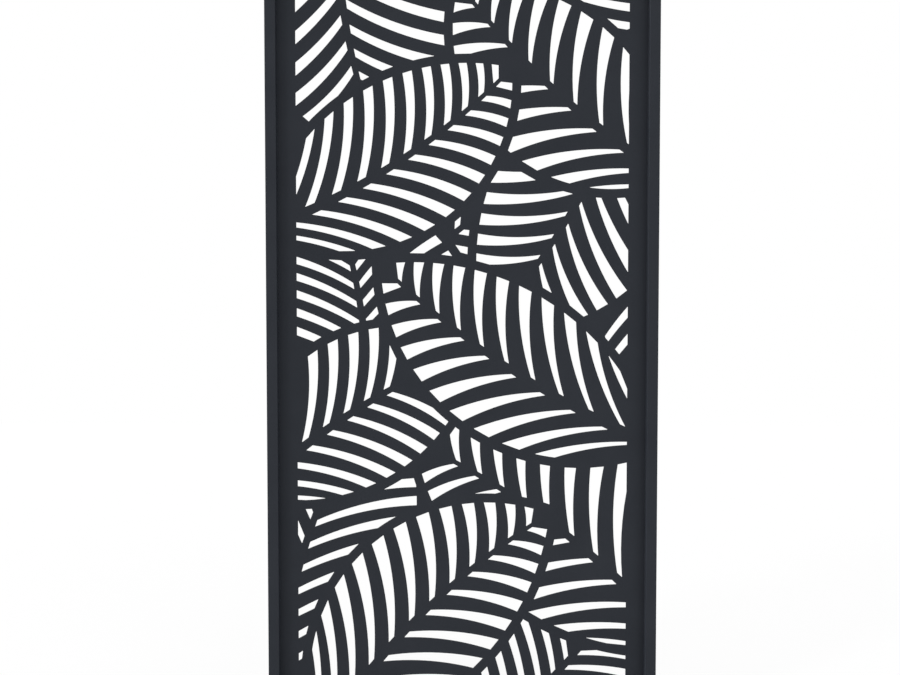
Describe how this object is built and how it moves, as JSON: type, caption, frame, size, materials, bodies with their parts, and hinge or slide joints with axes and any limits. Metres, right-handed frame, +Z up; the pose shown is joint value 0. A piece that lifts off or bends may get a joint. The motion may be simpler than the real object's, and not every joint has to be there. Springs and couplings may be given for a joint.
{
  "type": "decorative screen panel",
  "caption": "Free-standing framed screen panel: a dark sheet cut with overlapping leaves in a mitred hollow frame on two flat foot plates with rubber pads.",
  "frame": {"origin": "on the floor, under the middle of the panel", "axes": "+X across the panel to its right as seen from its front, +Y from its front to its back, +Z up"},
  "size_m": [0.9, 0.4, 1.812],
  "materials": {
    "frame_coating": "powder coat, fine matt anthracite, over an extruded section",
    "sheet_coating": "powder coat, fine matt anthracite, over a cut sheet",
    "seal_rubber": "extruded, matt black",
    "key_metal": "cast, plain",
    "screw_steel": "blackened",
    "foot_coating": "powder coat, fine matt anthracite, over flat steel bar",
    "pad_rubber": "moulded, matt black"
  },
  "bodies": {
    "root": {"left_stile": "frame_coating", "right_stile": "frame_coating", "top_rail": "frame_coating", "bottom_rail": "frame_coating", "leaf_sheet": "sheet_coating", "left_edge_seal": "seal_rubber", "right_edge_seal": "seal_rubber", "top_edge_seal": "seal_rubber", "bottom_edge_seal": "seal_rubber", "front_key_bottom_left": "key_metal", "front_key_bottom_right": "key_metal", "front_key_top_left": "key_metal", "front_key_top_right": "key_metal", "rear_key_bottom_left": "key_metal", "rear_key_bottom_right": "key_metal", "rear_key_top_left": "key_metal", "rear_key_top_right": "key_metal", "rear_corner_screws": "screw_steel", "foot_bolts": "screw_steel", "left_foot_plate": "foot_coating", "right_foot_plate": "foot_coating", "left_front_foot_pad": "pad_rubber", "left_rear_foot_pad": "pad_rubber", "right_front_foot_pad": "pad_rubber", "right_rear_foot_pad": "pad_rubber"}
  },
  "joints": []
}
